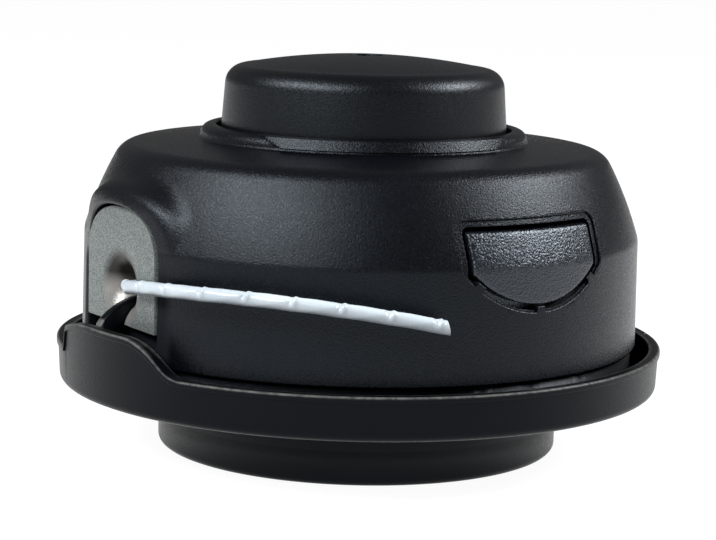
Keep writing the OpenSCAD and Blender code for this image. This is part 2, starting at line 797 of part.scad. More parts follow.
// Outline of the knob from its lower edge to the apex, for a skin that lies g inside
function knob_line(g, z) =
    let (side_top = edge_z - knob_fillet,
         a = knob_draft,
         edge_r = knob_r - (edge_z - collar_z) * tan(knob_draft) - knob_fillet,
         c = [edge_r, side_top],
         dome = (pow(edge_r, 2) + pow(dome_rise, 2)) / (2 * dome_rise))
    concat(
        [[knob_r - g, z], [knob_r - g, collar_z]],
        arc(c, knob_fillet - g, a, 90),
        [for (i = [steps - 1 : -1 : 0]) let (r = edge_r * i / steps)
            [r, knob_top_z - dome - g + sqrt(pow(dome, 2) - pow(r, 2))]]);

module bump_knob() color(gloss_black) difference() {
    union() {
        difference() {
            rotate_extrude() polygon(concat([[0, spool_top_z + face_gap]],
                                            knob_line(0, spool_top_z + face_gap)));
            rotate_extrude() polygon(concat([[0, spool_top_z - over]],
                                            knob_line(knob_t, spool_top_z - over)));
        }
        ring(neck_r + fit - snap_d, neck_r + fit + sink, snap_z, snap_z + snap_h);
    }
    cylinder_from(knob_top_z - dimple_d, dimple_r, dimple_d + over);
}

// Coil spring with closed ends
function spring_z(t) =
    let (low = spring_low_z + wire_d / 2, high = spring_top_z - wire_d / 2, closed = wire_d * 1.02)
    t < 1 ? low + closed * t
    : t > spring_turns - 1 ? high - closed * (spring_turns - t)
    : low + closed + (high - low - 2 * closed) * (t - 1) / (spring_turns - 2);

module spring() color(steel_grey) {
    rings_n = round(spring_turns * 20);
    path = [for (i = [0 : rings_n]) let (t = spring_turns * i / rings_n)
        [spring_r * cos(360 * t), spring_r * sin(360 * t), spring_z(t)]];
    sweep(path, wire_d / 2, 8);
}

module spring_seat() color(steel_grey) {
    ring(post_r + run, seat_r_out, seat_z, seat_z + seat_t);
    ring(post_r + run, post_r + run + seat_collar_t, seat_z - seat_collar_l, seat_z + sink);
}

// Wound line in one chamber: a core with the outermost turns standing proud
module winding(z) color(nylon_white) {
    gap = fit / 2;
    core_r = winding_r - line_d / 2;
    ring(drum_r + gap, core_r, z + gap, z + chamber_w - gap);
    for (i = [0 : turns_wide - 1]) translate([0, 0, z + gap + (i + 0.5) * line_d])
        rotate_extrude() intersection() {
            translate([core_r, 0]) circle(d = line_d);
            translate([core_r - sink, -line_d / 2]) square([line_d, line_d]);
        }
}

module line_winding_lower() winding(chamber_z);
module line_winding_upper() winding(chamber_2_z);

// Tube swept along a route of points
function unit(v) = v / norm(v);
function heading(p, i) = unit(p[min(i + 1, len(p) - 1)] - p[max(i - 1, 0)]);
module sweep(p, r, sides) {
    n = len(p);
    pts = [for (i = [0 : n - 1]) let (t = heading(p, i), a = unit(cross(t, [0, 0, 1])), b = cross(a, t))
        for (k = [0 : sides - 1]) p[i] + r * (cos(360 * k / sides) * a + sin(360 * k / sides) * b)];
    faces = concat(
        [[for (k = [0 : sides - 1]) k]],
        [for (i = [0 : n - 2], k = [0 : sides - 1]) let (k2 = (k + 1) % sides)
            [i * sides + k, (i + 1) * sides + k, (i + 1) * sides + k2, i * sides + k2]],
        [[for (k = [sides - 1 : -1 : 0]) (n - 1) * sides + k]]);
    polyhedron(pts, faces);
}

module line_tail_left() rotate([0, 0, 180]) line_tail_right();
module line_tail_right() color(nylon_white) sweep(tail_route, line_d / 2, tail_sides);

housing();
cover();
eyelet_left();
eyelet_right();
latch_front();
latch_rear();
arbor_nut();
spring();
spring_seat();
spool();
bump_knob();
line_winding_lower();
line_winding_upper();
line_tail_left();
line_tail_right();
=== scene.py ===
"""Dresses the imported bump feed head: camera, line tails, detailed casings, materials, floor and lights."""

import math

import bpy
import bmesh
import numpy as np
from mathutils import Matrix, Vector


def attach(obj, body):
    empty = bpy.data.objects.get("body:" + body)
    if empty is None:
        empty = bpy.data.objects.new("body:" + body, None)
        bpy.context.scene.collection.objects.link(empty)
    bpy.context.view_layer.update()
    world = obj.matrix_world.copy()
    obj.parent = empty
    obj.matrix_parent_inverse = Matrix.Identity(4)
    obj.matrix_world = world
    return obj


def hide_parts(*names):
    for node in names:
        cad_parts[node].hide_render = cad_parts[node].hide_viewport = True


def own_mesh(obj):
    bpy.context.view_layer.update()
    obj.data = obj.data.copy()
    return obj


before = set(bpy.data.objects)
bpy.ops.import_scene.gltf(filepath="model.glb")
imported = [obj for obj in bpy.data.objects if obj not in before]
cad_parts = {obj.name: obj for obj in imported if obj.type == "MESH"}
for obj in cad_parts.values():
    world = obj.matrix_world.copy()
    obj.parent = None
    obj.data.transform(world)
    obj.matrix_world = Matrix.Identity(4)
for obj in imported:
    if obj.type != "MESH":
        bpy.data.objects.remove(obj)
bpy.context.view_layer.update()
scene = bpy.context.scene

MM = 0.001

# The sizes below repeat the named sizes of the part's source, in millimetres
RING_R, RING_T, RING_H, RING_STEP, RING_BAND_H, RING_FILLET = 36.6, 3.0, 11.8, 0.15, 6.0, 1.2
FLOOR_Z = 14.8
RIM_Z, RIM_IN_R, RIM_R, LIP_OUT, LIP_H, RIM_DRAFT, RIM_FILLET = 19.5, 52.9, 55.0, 0.3, 1.1, 0.25, 1.3
GUARD_Z, GUARD_FLAT, GUARD_CROWN_R, GUARD_FOOT_R, GUARD_SLOPE = 25.1, 19.8, 12.0, 6.0, 38.0
GUARD_BACK_R, GUARD_END, GUARD_END_RUN = 42.0, 12.2, 0.8
NOSE_T, NOSE_H, NOSE_OUT, NOSE_POWER = 2.0, 4.8, 4.3, 1.45
COVER_Z, COVER_R, COVER_T, WALL_H, WALL_DRAFT, KNEE_FILLET = 20.0, 50.4, 2.2, 18.7, 0.75, 4.0
CONE_FOOT_A, CONE_TOP_A, CONE_H, SHOULDER_FILLET, TOP_SLOPE = 17.0, 28.5, 12.6, 4.4, 4.5
COLLAR_IN_R, COLLAR_T, COLLAR_H, COLLAR_FILLET = 26.7, 2.85, 2.4, 1.8
PAD_T, PAD_A, PAD_TURN, PAD_LEAN, PAD_TAPER = 0.3, 81.0, 68.5, 0.42, 1.3
EYELET_W, EYELET_Z, ARCH_Z, ARCH_H, ARCH_POWER, EYELET_GAP = 24.6, 25.3, 37.0, 8.5, 2.25, 0.45
HOLE_Z, HOOD_W = 31.5, 5.0
LATCH_ANGLE, TAB_W, TAB_H, TAB_ARC_R, TAB_Z, TAB_T = 94.0, 26.2, 12.3, 18.0, 32.8, 3.2
TAB_GAP, TAB_SINK, BEZEL_D, NUB_W, NUB_ANGLE, NUB_GAP = 0.8, 0.1, 0.45, 1.6, 39.5, 0.3
FRAME_W, FRAME_LOW, WINDOW_LOW = 1.05, -0.55, 0.15
KNOB_R, KNOB_PROUD, KNOB_DRAFT, KNOB_FILLET, DOME_RISE, DIMPLE_R, DIMPLE_D = 25.8, 12.8, 3.0, 3.5, 2.05, 3.2, 0.9
LINE_D = 2.4

# Camera, fitted to the ellipses of the rim, ring, cover and knob in the photograph
CAM_AZIMUTH, CAM_ELEVATION, CAM_DISTANCE, CAM_TARGET_Z = -33.0, 8.954, 418.18, 31.46
CAM_PAN, CAM_ROLL, CAM_LENS, CAM_SENSOR = -0.00094, 1.473, 114.91, 36.0


def rad(a):
    return math.radians(a)


def toward(a):
    return np.array([math.cos(rad(a)), math.sin(rad(a))])


def arc(c, r, a, b, n):
    return [np.asarray(c) + r * toward(a + (b - a) * i / n) for i in range(n + 1)]


# ---------------------------------------------------------------- camera
def make_camera():
    e, a = rad(CAM_ELEVATION), rad(CAM_AZIMUTH)
    direction = Vector((math.sin(a) * math.cos(e), -math.cos(a) * math.cos(e), math.sin(e)))
    target = Vector((0, 0, CAM_TARGET_Z * MM))
    place = target + direction * CAM_DISTANCE * MM
    right = direction.cross(Vector((0, 0, -1))).normalized()
    ahead = (-direction + right * CAM_PAN).normalized()
    right = ahead.cross(Vector((0, 0, 1))).normalized()
    up = right.cross(ahead)
    c, s = math.cos(rad(CAM_ROLL)), math.sin(rad(CAM_ROLL))
    x_axis, y_axis = right * c + up * s, up * c - right * s
    data = bpy.data.cameras.new("camera")
    data.sensor_fit = "HORIZONTAL"
    data.sensor_width = CAM_SENSOR
    data.lens = CAM_LENS
    data.clip_start, data.clip_end = 0.01, 10
    camera = bpy.data.objects.new("camera", data)
    m = Matrix((x_axis, y_axis, -ahead)).transposed().to_4x4()
    m.translation = place
    camera.matrix_world = m
    scene.collection.objects.link(camera)
    scene.camera = camera


make_camera()


# ---------------------------------------------------------------- mesh helpers
def finish_mesh(ob, sharp=32.0, merge=1e-7):
    """Merges doubles, turns faces outward, and shades smooth up to the sharp angle."""
    bm = bmesh.new()
    bm.from_mesh(ob.data)
    bmesh.ops.remove_doubles(bm, verts=bm.verts, dist=merge)
    bmesh.ops.recalc_face_normals(bm, faces=bm.faces)
    bm.to_mesh(ob.data)
    bm.free()
    shade(ob, sharp)
    return ob


def shade(ob, sharp=32.0):
    me = ob.data
    me.polygons.foreach_set("use_smooth", [True] * len(me.polygons))
    me.set_sharp_from_angle(angle=rad(sharp))
    me.update()


def mesh_piece(name, verts, faces, sharp=32.0):
    """A new object from points in millimetres."""
    me = bpy.data.meshes.new(name)
    me.from_pydata((np.asarray(verts, float) * MM).tolist(), [], faces)
    ob = bpy.data.objects.new(name, me)
    scene.collection.objects.link(ob)
    return finish_mesh(ob, sharp)


def grid_faces(rows, cols, close_rows=False, close_cols=False):
    faces = []
    for i in range(rows if close_rows else rows - 1):
        for j in range(cols if close_cols else cols - 1):
            a, b = i * cols + j, i * cols + (j + 1) % cols
            c, d = ((i + 1) % rows) * cols + (j + 1) % cols, ((i + 1) % rows) * cols + j
            faces.append((a, b, c, d))
    return faces


def lathe_points(line, angles):
    """Grid of points, one row for each point of the line in r and z."""
    line = np.asarray(line, float)
    a = np.radians(angles)
    x = line[:, 0:1] * np.cos(a)
    y = line[:, 0:1] * np.sin(a)
    z = np.repeat(line[:, 1:2], len(a), axis=1)
    return np.stack([x, y, z], axis=-1)


def even_angles(step):
    return np.arange(0, 360, step)


def lathe(name, line, step=2.0, sharp=32.0, closed=True):
    pts = lathe_points(line, even_angles(step))
    rows, cols = pts.shape[:2]
    return mesh_piece(name, pts.reshape(-1, 3), grid_faces(rows, cols, closed, True), sharp)


def loft(name, loops, centre_first=None, centre_last=None, sharp=32.0):
    """Closed solid through loops of points, capped by a point or by a fan at each end."""
    loops = [np.asarray(l, float) for l in loops]
    n = len(loops[0])
    verts = np.concatenate(loops)
    faces = grid_faces(len(loops), n, False, True)
    first = loops[0].mean(0) if centre_first is None else np.asarray(centre_first, float)
    last = loops[-1].mean(0) if centre_last is None else np.asarray(centre_last, float)
    verts = np.concatenate([verts, [first, last]])
    a, b = len(verts) - 2, len(verts) - 1
    base = (len(loops) - 1) * n
    faces += [(a, (j + 1) % n, j) for j in range(n)]
    faces += [(b, base + j, base + (j + 1) % n) for j in range(n)]
    return mesh_piece(name, verts, faces, sharp)


def turned(ob, angle):
    ob.data.transform(Matrix.Rotation(rad(angle), 4, "Z"))
    ob.data.update()
    return ob


def boolean(ob, cutters, op="DIFFERENCE"):
    for cutter in cutters:
        mod = ob.modifiers.new("cut", "BOOLEAN")
        mod.operation, mod.solver, mod.object = op, "EXACT", cutter
        apply_modifiers(ob)
    for cutter in cutters:
        bpy.data.objects.remove(cutter)
    return ob


def apply_modifiers(ob):
    graph = bpy.context.evaluated_depsgraph_get()
    me = bpy.data.meshes.new_from_object(ob.evaluated_get(graph))
    old, name = ob.data, ob.data.name
    ob.modifiers.clear()
    ob.data = me
    bpy.data.meshes.remove(old)
    me.name = name


def even_shading(ob):
    """Normals weighted by face area, so that small faces along an edge don't shade the large ones."""
    mod = ob.modifiers.new("weigh", "WEIGHTED_NORMAL")
    mod.mode, mod.weight, mod.keep_sharp = "FACE_AREA", 80, True
    apply_modifiers(ob)


def joined(ob, others):
    bm = bmesh.new()
    for o in [ob] + others:
        bm.from_mesh(o.data)
    bm.to_mesh(ob.data)
    bm.free()
    for o in others:
        bpy.data.objects.remove(o)
    return ob


def cad_copy(node, name, keep=None):
    """Copy of a CAD node's mesh, or of the faces whose corners pass keep(array of points in mm)."""
    source = bpy.data.objects[node]
    me = source.data.copy()
    me.transform(source.matrix_world)
    me.name = name
    ob = bpy.data.objects.new(name, me)
    scene.collection.objects.link(ob)
    me.materials.clear()
    bm = bmesh.new()
    bm.from_mesh(me)
    if keep is not None:
        drop = [f for f in bm.faces if not keep(np.array([v.co for v in f.verts]) / MM)]
        bmesh.ops.delete(bm, geom=drop, context="FACES")
    bmesh.ops.remove_doubles(bm, verts=bm.verts, dist=2e-6)
    bm.to_mesh(me)
    bm.free()
    return ob


# ---------------------------------------------------------------- line tails
FACE_X = math.sqrt(COVER_R ** 2 - (EYELET_W / 2) ** 2)
THROAT_R, MOUTH_R = 2.6, 4.8
TAIL_A, TAIL_OUT, TAIL_RISE, TAIL_PEAK_A = 72.3, 4.1, 2.95, 34.0
TAIL_LIFT = [(12, 1.2), (16, 2.05), (20, 2.9), (24, 3.55), (28, 3.95), (32, 4.1)]
TAIL_START_X, TAIL_ARC_FROM = 42.64, 36.0


def tail_route():
    """The route of the right tail in millimetres, as the part's source has it."""
    bend_r = MOUTH_R + LINE_D / 2 + 0.3
    bend_c = np.array([FACE_X - MOUTH_R, THROAT_R + MOUTH_R])
    plan = [np.array([TAIL_START_X, bend_c[1] - bend_r])] + arc(bend_c, bend_r, -90, 0, 6)
    plan += [(COVER_R + out) * toward(a) for a, out in TAIL_LIFT]
    plan += arc([0, 0], COVER_R + TAIL_OUT, TAIL_ARC_FROM, TAIL_A, 8)
    plan = np.array(plan)
    a = np.degrees(np.arctan2(plan[:, 1], plan[:, 0]))
    rise = TAIL_RISE * (1 - (a / TAIL_PEAK_A - 1) ** 2)
    return np.column_stack([plan, HOLE_Z + rise])


def spline(points, step):
    """Even points along a Catmull-Rom curve."""
    p = np.vstack([2 * points[0] - points[1], points, 2 * points[-1] - points[-2]])
    fine = []
    for i in range(1, len(p) - 2):
        for t in np.linspace(0, 1, 24, endpoint=False):
            a, b, c, d = p[i - 1 : i + 3]
            fine.append(0.5 * (2 * b + (c - a) * t + (2 * a - 5 * b + 4 * c - d) * t ** 2
                               + (3 * b - a - 3 * c + d) * t ** 3))
    fine = np.array(fine + [points[-1]])
    run = np.concatenate([[0], np.cumsum(np.linalg.norm(np.diff(fine, axis=0), axis=1))])
    s = np.linspace(0, run[-1], int(run[-1] / step) + 1)
    return np.stack([np.interp(s, run, fine[:, k]) for k in range(3)], axis=1), s


MARK_PITCH, MARK_TO_END, MARK_TURN, MARK_DIP, MARK_BULGE = 7.85, 1.8, 0.85, 0.42, 0.32
LOBES, LOBE_RISE, END_SLANT, END_ROUND = 3, 0.07, 0.48, 0.12


def make_tail(name, node, turn):
    centre, s = spline(tail_route(), 0.2)
    tangent = np.gradient(centre, axis=0)
    tangent /= np.linalg.norm(tangent, axis=1, keepdims=True)
    side = np.cross(tangent, [0, 0, 1])
    side /= np.linalg.norm(side, axis=1, keepdims=True)
    up = np.cross(side, tangent)
    sides = 32
    k = np.arange(sides) * 2 * np.pi / sides
    total = s[-1]
    face = np.clip(np.cos(k - MARK_TURN), 0, 1) ** 3
    loops = []
    for i in range(len(s)):
        # Three soft ridges wind round the line, and where one comes to the front it has a pinch mark
        past = s[i] - (total - MARK_TO_END)
        turns = k - MARK_TURN - 2 * np.pi * past / (LOBES * MARK_PITCH)
        ridge = LOBE_RISE * (0.64 - np.abs(np.sin(LOBES * turns / 2)))
        off = (past + MARK_PITCH / 2) % MARK_PITCH - MARK_PITCH / 2
        dip, bulge = math.exp(-(((off + 0.45) / 0.36) ** 2)), math.exp(-(((off - 0.35) / 0.42) ** 2))
        r = LINE_D / 2 - 0.03 + ridge + (MARK_BULGE * bulge - MARK_DIP * dip) * face
        loop = centre[i] + r[:, None] * (np.cos(k)[:, None] * side[i] + np.sin(k)[:, None] * up[i])
        # The end is cut at a slant, and the last few loops lean over towards it
        slant = END_SLANT * max(past, 0) / MARK_TO_END
        loop -= tangent[i] * slant * np.sin(k)[:, None]
        loops.append(loop)
    middle = loops[-1].mean(0)
    loops.append(middle + (loops[-1] - middle) * (1 - END_ROUND) + tangent[-1] * END_ROUND / 2)
    ob = loft(name, loops, sharp=50)
    turned(ob, turn)
    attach(ob, "head")
    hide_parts(node)
    return ob


tails = [make_tail("tail_left", "line_tail_left", 180), make_tail("tail_right", "line_tail_right", 0)]


# ---------------------------------------------------------------- outline of the cover
KNEE_R = COVER_R - WALL_H * math.tan(rad(WALL_DRAFT))
KNEE_Z = COVER_Z + WALL_H
TOP_A = 90 - TOP_SLOPE
CONE_R = CONE_H / (math.sin(rad(CONE_TOP_A)) - math.sin(rad(CONE_FOOT_A)))
KNEE_C = np.array([KNEE_R, KNEE_Z]) - KNEE_FILLET * toward(WALL_DRAFT)
CONE_C = KNEE_C + (KNEE_FILLET - CONE_R) * toward(CONE_FOOT_A)
SHOULDER_C = CONE_C + (CONE_R - SHOULDER_FILLET) * toward(CONE_TOP_A)
COLLAR_R = COLLAR_IN_R + COLLAR_T


def top_z(r, g=0.0):
    edge = SHOULDER_C + (SHOULDER_FILLET - g) * toward(TOP_A)
    return edge[1] + (edge[0] - r) * math.tan(rad(TOP_SLOPE))


COLLAR_Z = top_z(COLLAR_R) + COLLAR_H
UNDER_TOP_Z = top_z(SHOULDER_C[0], COVER_T)


def skin(g, foot_z=COVER_Z, n=(4, 26, 12)):
    """Outline of the cover from foot_z to the top face, g inside the outer skin."""
    wall_top = KNEE_C + (KNEE_FILLET - g) * toward(WALL_DRAFT)
    foot = np.array([wall_top[0] + (wall_top[1] - foot_z) * math.tan(rad(WALL_DRAFT)), foot_z])
    line = [foot + (wall_top - foot) * i / 8 for i in range(8)]
    line += arc(KNEE_C, KNEE_FILLET - g, WALL_DRAFT, CONE_FOOT_A, n[0])
    line += arc(CONE_C, CONE_R - g, CONE_FOOT_A, CONE_TOP_A, n[1])[1:]
    line += arc(SHOULDER_C, SHOULDER_FILLET - g, CONE_TOP_A, TOP_A, n[2])[1:]
    return np.array(line)


def skin_r(z, g=0.0):
    """Radius of that skin at heights z, up to the shoulder."""
    line = skin(g, COVER_Z - 4, (8, 40, 24))
    return np.interp(z, line[:, 1], line[:, 0])


def smooth(t):
    t = np.clip(t, 0, 1)
    return t * t * (3 - 2 * t)


def hood_distance(p):
    """Distance outside the raised hood round a line exit, for points in millimetres."""
    x, y, z = np.abs(p[..., 0]), np.abs(p[..., 1]), p[..., 2]
    half, rise = EYELET_W / 2 + HOOD_W, ARCH_H + HOOD_W
    zz = np.maximum(z - ARCH_Z, 0)
    f = ((y / half) ** ARCH_POWER + (zz / rise) ** ARCH_POWER) ** (1 / ARCH_POWER)
    across = np.hypot(y, zz) * (1 - 1 / np.maximum(f, 0.05))
    crown = ARCH_Z + ARCH_H
    r = np.hypot(x, y)
    out = np.hypot(np.maximum(r - (KNEE_R - HOOD_W), 0), np.maximum(z - crown, 0)) - HOOD_W
    root = 1.6 * (1 - smooth((z - (KNEE_Z - 2)) / 3.5))
    both = np.hypot(np.maximum(across + 2.2, 0), np.maximum(out + 2.2, 0)) - 2.2
    d = np.maximum(np.minimum(np.maximum(across, out), 30), both)
    return d + root


def with_hood(points, normals):
    """Moves points of the outer skin out to the hood, with a soft hollow where the two meet."""
    low, high = np.zeros(points.shape[:-1]), np.full(points.shape[:-1], 9.0)
    k = 0.25 + 2.6 * smooth((points[..., 2] - KNEE_Z) / 7)
    for _ in range(22):
        s = (low + high) / 2
        d = hood_distance(points + normals * s[..., None])
        h = np.maximum(k - np.abs(s - d), 0) / k
        inside = np.minimum(s, d) - h * h * k / 4 < 0
        low, high = np.where(inside, s, low), np.where(inside, high, s)
    moved = np.where(high > 0.01, high, 0)
    return points + normals * moved[..., None]


def cover_angles():
    """Angles of the columns: close together round the line exits and at the ends of the pads."""
    parts = [np.arange(-180, 180, 2.0)]
    for middle in (0, 180):
        parts.append(middle + np.arange(-27, 27.01, 0.6))
        for end in (PAD_TURN - PAD_A / 2, PAD_TURN + PAD_A / 2):
            parts.append(middle + end + np.arange(-9, 9.01, 0.45))
    a = np.sort(np.concatenate(parts) % 360)
    return a[np.concatenate([[True], np.diff(a) > 0.19])]


def cover_rings():
    """Outer outline of the cover, then its inner side back to the start."""
    edge = 0.3
    foot = skin(0)[0]
    outer = arc(foot + [-edge, edge], edge, -90, 0, 3)[:-1]
    wall = skin(0, COVER_Z + edge, (5, 30, 12))
    outer += list(wall)
    root = 0.6
    foot_c = np.array([COLLAR_R + root, top_z(COLLAR_R + root) + root])
    outer += [np.array([r, top_z(r)]) for r in np.linspace(wall[-1][0], COLLAR_R + root, 7)[1:-1]]
    outer += arc(foot_c, root, 270 - TOP_SLOPE, 180, 4)
    first_collar = len(outer)
    c = np.array([COLLAR_R - COLLAR_FILLET, COLLAR_Z - COLLAR_FILLET])
    outer += arc(c, COLLAR_FILLET, 0, 90, 9)
    lip = 0.35
    inner = arc([COLLAR_IN_R + lip, COLLAR_Z - lip], lip, 90, 180, 3)
    inner += [np.array([COLLAR_IN_R, UNDER_TOP_Z]), np.array([SHOULDER_C[0], UNDER_TOP_Z])]
    inner += list(skin(COVER_T, COVER_Z, (4, 12, 6)))[::-1][1:]
    return np.array(outer), np.array(inner), first_collar


def arch_loop(g, d, foot_z, n=44):
    """Outline of the arched cut, grown by g, laid d below the surface of the cover and its hood."""
    half, rise = EYELET_W / 2 + g, ARCH_H + g
    sides = [np.array([half, z]) for z in np.linspace(foot_z, ARCH_Z, 15)[:-1]]
    crown = []
    for i in range(n + 1):
        c, s = math.cos(math.pi * i / n), math.sin(math.pi * i / n)
        crown.append(np.array([half * math.copysign(abs(c) ** (2 / ARCH_POWER), c),
                               ARCH_Z + rise * abs(s) ** (2 / ARCH_POWER)]))
    loop = sides + crown + [p * [-1, 1] for p in sides[::-1]]
    loop += [np.array([y, foot_z]) for y in np.linspace(-half, half, 12)[1:-1]]
    loop = np.array(loop)
    crown_z = ARCH_Z + ARCH_H
    r = np.where(loop[:, 1] < KNEE_Z, skin_r(np.minimum(loop[:, 1], KNEE_Z)), KNEE_R)
    over = np.maximum(loop[:, 1] - crown_z, 0)
    r = np.where(over > 0, KNEE_R - HOOD_W + np.sqrt(np.maximum(HOOD_W ** 2 - over ** 2, 0)), r)
    x = np.sqrt(np.maximum(r ** 2 - loop[:, 0] ** 2, 0)) - d
    return np.stack([x, loop[:, 0], loop[:, 1]], axis=1)


def rounded_entry(g, e):
    """Growth and depth of a cut whose entry is rounded by e, from outside the skin inward."""
    pairs = []
    for a in (24, 46, 68, 90):
        pairs.append((g + e - e * math.sin(rad(a)), e - e * math.cos(rad(a))))
    slope = math.tan(rad(24))
    return [(pairs[0][0] + 1.2, pairs[0][1] - 1.2 * slope)] + pairs


NUB_END, WINDOW_REACH = 43.0, 47.7


def tab_turns():
    """Angles along the lower arc of a latch window, and whether each is on a nub."""
    half_nub = math.degrees(NUB_W / 2 / (TAB_ARC_R + TAB_GAP))
    marks = []
    for a in (-NUB_ANGLE, 0, NUB_ANGLE):
        marks += [(a - half_nub - 0.2, 0), (a - half_nub + 0.2, 1), (a + half_nub - 0.2, 1), (a + half_nub + 0.2, 0)]
    turns = [(t, 0) for t in np.linspace(-1, 1, 45) * WINDOW_REACH if all(abs(t - m[0]) > 0.5 for m in marks)]
    on_nub = [(t, 1) for a in (-NUB_ANGLE, 0, NUB_ANGLE) for t in (a - 1.0, a, a + 1.0)]
    turns = [t for t in turns if all(abs(t[0] - a) > half_nub + 0.3 for a in (-NUB_ANGLE, 0, NUB_ANGLE))]
    return sorted(turns + marks + on_nub)


TAB_TURNS = tab_turns()


def tab_loop(g, d, corner, nub=None, low=0.0):
    """Outline of the latch button, grown by g and below by low more, laid d below the skin, X outward.

    Where nub is given, the lower arc comes in to that distance from the button at the three nubs."""
    half, r, top = TAB_W / 2 + g, TAB_ARC_R + g + low, TAB_Z + TAB_H + g
    c_z = TAB_Z + TAB_ARC_R
    reach = math.degrees(math.asin(half / r))
    pts = []
    for turn, on_nub in TAB_TURNS:
        beyond = max(abs(turn) - NUB_END, 0) * (reach - NUB_END) / (WINDOW_REACH - NUB_END)
        t = rad(math.copysign(min(abs(turn), NUB_END) + beyond, turn))
        rr = TAB_ARC_R + nub if nub is not None and on_nub else r
        pts.append([rr * math.sin(t), c_z - rr * math.cos(t)])
    side_z = c_z - math.sqrt(r * r - half * half)
    corner = max(corner + g, 0.05)
    pts += [[half, z] for z in np.linspace(side_z, top - corner, 6)[1:-1]]
    pts += [list(p) for p in arc([half - corner, top - corner], corner, 0, 90, 6)]
    pts += [[y, top] for y in np.linspace(half - corner, corner - half, 22)[1:-1]]
    pts += [list(p) for p in arc([corner - half, top - corner], corner, 90, 180, 6)]
    pts += [[-half, z] for z in np.linspace(top - corner, side_z, 6)[1:-1]]
    pts = np.array(pts)
    x = np.sqrt(skin_r(pts[:, 1]) ** 2 - pts[:, 0] ** 2) - d
    return np.stack([x, pts[:, 0], pts[:, 1]], axis=1)


def make_cover():
    outer, inner, first_collar = cover_rings()
    angles = cover_angles()
    pts = lathe_points(outer, angles)
    along = np.gradient(outer, axis=0)
    normal = np.stack([along[:, 1], -along[:, 0]], axis=1)
    normal /= np.linalg.norm(normal, axis=1, keepdims=True)
    normals = lathe_points(normal, angles)
    pts[6:first_collar - 5] = with_hood(pts[6:first_collar - 5], normals[6:first_collar - 5])
    # On both sides of the collar its round edge grows into a proud flat face that tapers at its ends
    low = np.array([COLLAR_R + PAD_T, COLLAR_Z - COLLAR_FILLET])
    high = np.array([COLLAR_R - PAD_LEAN, COLLAR_Z - 0.12])
    face = [low + (high - low) * i / 6 for i in range(7)] + [high + (outer[-1] - high) * i / 3 for i in (1, 2)]
    for i in range(len(face)):
        flat = lathe_points([face[i]], angles)[0]
        for turn in (0, 180):
            off = np.abs((angles - PAD_TURN - turn + 180) % 360 - 180)
            on = smooth((PAD_A / 2 + PAD_TAPER * min(i, 6) - off) / 0.8 + 0.5)[:, None]
            pts[first_collar + i] += (flat - pts[first_collar + i]) * on
    grid = np.concatenate([pts, lathe_points(inner, angles)])
    rows, cols = grid.shape[:2]
    ob = mesh_piece("cover_shell", grid.reshape(-1, 3), grid_faces(rows, cols, True, True))
    cutters = []
    for turn in (0, 180):
        loops = [arch_loop(g, d, COVER_Z - 2) for g, d in rounded_entry(EYELET_GAP, 0.4)]
        loops.append(arch_loop(EYELET_GAP, 12, COVER_Z - 2))
        cutters.append(turned(loft("arch_cut", loops, (62, 0, ARCH_Z), (36, 0, ARCH_Z)), turn))
    for turn in (LATCH_ANGLE, LATCH_ANGLE + 180):
        recess, window = TAB_GAP + FRAME_W, TAB_GAP
        loops = [tab_loop(g, d, 0.1, NUB_GAP + g - recess, FRAME_LOW) for g, d in rounded_entry(recess, 0.22)]
        loops += [tab_loop(recess, BEZEL_D, 0.1, NUB_GAP, FRAME_LOW)]
        for g, d in ((0.15, BEZEL_D + 0.02), (0.04, BEZEL_D + 0.06), (0, BEZEL_D + 0.16), (0, 9)):
            loops.append(tab_loop(window + g, d, 0.5, NUB_GAP, WINDOW_LOW))
        middle_z = TAB_Z + TAB_H / 2
        cutters.append(turned(loft("window_cut", loops, (60, 0, middle_z), (36, 0, middle_z)), turn))
    boolean(ob, cutters)
    finish_mesh(ob, 30)
    even_shading(ob)
    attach(ob, "head")
    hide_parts("cover")
    return ob


cover = make_cover()


# ---------------------------------------------------------------- latches
def make_latch(name, node, body, turn):
    loops = [tab_loop(-0.05, TAB_SINK + TAB_T - 0.2, 0.5), tab_loop(0, TAB_SINK + TAB_T - 0.5, 0.5)]
    edge = 0.45
    for a in (0, 22, 45, 68, 90):
        g = -edge * (1 - math.cos(rad(a)))
        d = TAB_SINK + edge * (1 - math.sin(rad(a)))
        loops.append(tab_loop(g, d, 0.5 if a < 90 else 0.5))
    # The face follows the cover: rings shrink towards its middle
    rim = tab_loop(-edge, TAB_SINK, 0.5)
    middle = np.array([0, TAB_Z + TAB_H * 0.55])
    for share in np.linspace(1, 0.02, 15)[1:]:
        yz = middle + (rim[:, 1:] - middle) * share
        x = np.sqrt(skin_r(yz[:, 1], 0) ** 2 - yz[:, 0] ** 2) - TAB_SINK
        loops.append(np.stack([x, yz[:, 0], yz[:, 1]], axis=1))
    front = loft(name, loops, centre_first=loops[0].mean(0))
    turned(front, turn)
    stem = cad_copy(node, name + "_stem", lambda p: p[:, 2].max() < TAB_Z + TAB_H / 3 + 0.2
                    and np.hypot(p[:, 0], p[:, 1]).max() < 47.7)
    joined(front, [stem])
    finish_mesh(front, 30)
    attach(front, body)
    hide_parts(node)
    return front


latches = [make_latch("latch_button_front", "latch_front", "latch_a", LATCH_ANGLE + 180),
           make_latch("latch_button_rear", "latch_rear", "latch_b", LATCH_ANGLE)]


